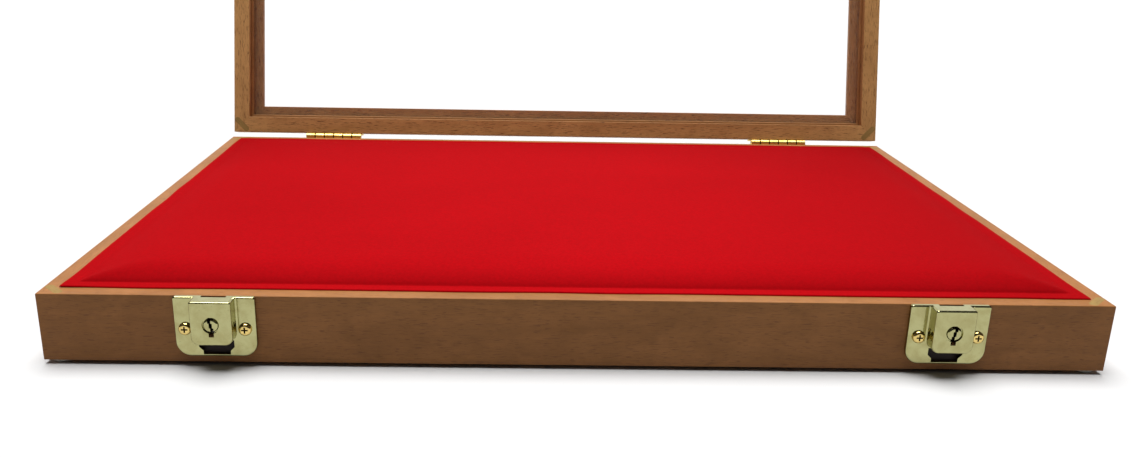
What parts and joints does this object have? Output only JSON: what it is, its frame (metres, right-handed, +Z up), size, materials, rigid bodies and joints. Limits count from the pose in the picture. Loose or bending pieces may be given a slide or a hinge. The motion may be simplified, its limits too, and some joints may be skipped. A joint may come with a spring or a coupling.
{
  "type": "coin display tray",
  "caption": "Shallow mitred wooden display case with a red velvet pad, brass case locks, and a glazed lid that stands open on brass butt hinges.",
  "frame": {"origin": "centre of the case's footprint, on the plane that the feet rest on", "axes": "+X to the right, +Y from the locks to the hinges, +Z up"},
  "size_m": [0.61, 0.5386, 0.4462],
  "materials": {
    "case_wood": "satin",
    "lid_wood": "satin",
    "spline_wood": "satin",
    "bead_wood": "satin",
    "panel_board": "matte",
    "foam": "matte",
    "velvet": "matte",
    "foot_rubber": "matte",
    "glass": "polished",
    "hinge_brass": "polished",
    "screw_brass": "polished",
    "lock_brass": "satin",
    "lock_steel": "satin"
  },
  "bodies": {
    "case": {"back_wall": "case_wood", "bumper_feet": "foot_rubber", "case_corner_splines": "spline_wood", "case_hinge_screws": "hinge_brass", "floor_panel": "panel_board", "front_wall": "case_wood", "left_bolt_spring": "lock_steel", "left_hinge_case_leaf": "hinge_brass", "left_hinge_pin": "hinge_brass", "left_lock_back_plate": "lock_steel", "left_lock_body": "lock_brass", "left_wall": "case_wood", "lock_screws": "screw_brass", "pad_foam": "foam", "right_bolt_spring": "lock_steel", "right_hinge_case_leaf": "hinge_brass", "right_hinge_pin": "hinge_brass", "right_lock_back_plate": "lock_steel", "right_lock_body": "lock_brass", "right_wall": "case_wood", "velvet_cover": "velvet"},
    "lid": {"back_glazing_bead": "bead_wood", "front_glazing_bead": "bead_wood", "glass_pane": "glass", "hasp_screws": "screw_brass", "left_glazing_bead": "bead_wood", "left_hasp": "lock_brass", "left_hinge_lid_leaf": "hinge_brass", "lid_back_rail": "lid_wood", "lid_corner_splines": "spline_wood", "lid_front_rail": "lid_wood", "lid_hinge_screws": "hinge_brass", "lid_left_stile": "lid_wood", "lid_right_stile": "lid_wood", "right_glazing_bead": "bead_wood", "right_hasp": "lock_brass", "right_hinge_lid_leaf": "hinge_brass"},
    "left_plug": {"left_key_plug": "lock_brass"},
    "left_bolt": {"left_lock_bolt": "lock_steel"},
    "right_plug": {"right_key_plug": "lock_brass"},
    "right_bolt": {"right_lock_bolt": "lock_steel"}
  },
  "joints": [
    {"name": "lid_hinge", "type": "hinge", "parent": "case", "child": "lid", "pos_m": [0, 0.2064, 0.04365], "axis": [-1, 0, 0], "range_deg": [-104.4, 0]},
    {"name": "left_plug_turn", "type": "hinge", "parent": "case", "child": "left_plug", "pos_m": [-0.2055, -0.2032, 0.0292], "axis": [0, -1, 0], "range_deg": [0, 90]},
    {"name": "left_bolt_slide", "type": "slide", "parent": "case", "child": "left_bolt", "axis": [1, 0, 0], "range_m": [-0.003, 0], "stiffness_N_per_m": 300, "deforming": ["left_bolt_spring"]},
    {"name": "right_plug_turn", "type": "hinge", "parent": "case", "child": "right_plug", "pos_m": [0.21, -0.2032, 0.0292], "axis": [0, -1, 0], "range_deg": [0, 90]},
    {"name": "right_bolt_slide", "type": "slide", "parent": "case", "child": "right_bolt", "axis": [1, 0, 0], "range_m": [-0.003, 0], "stiffness_N_per_m": 300, "deforming": ["right_bolt_spring"]}
  ],
  "couplings": [
    {"joint": "left_plug_turn", "follows": "left_bolt_slide", "rad_per_m": -523.6},
    {"joint": "right_plug_turn", "follows": "right_bolt_slide", "rad_per_m": -523.6}
  ]
}
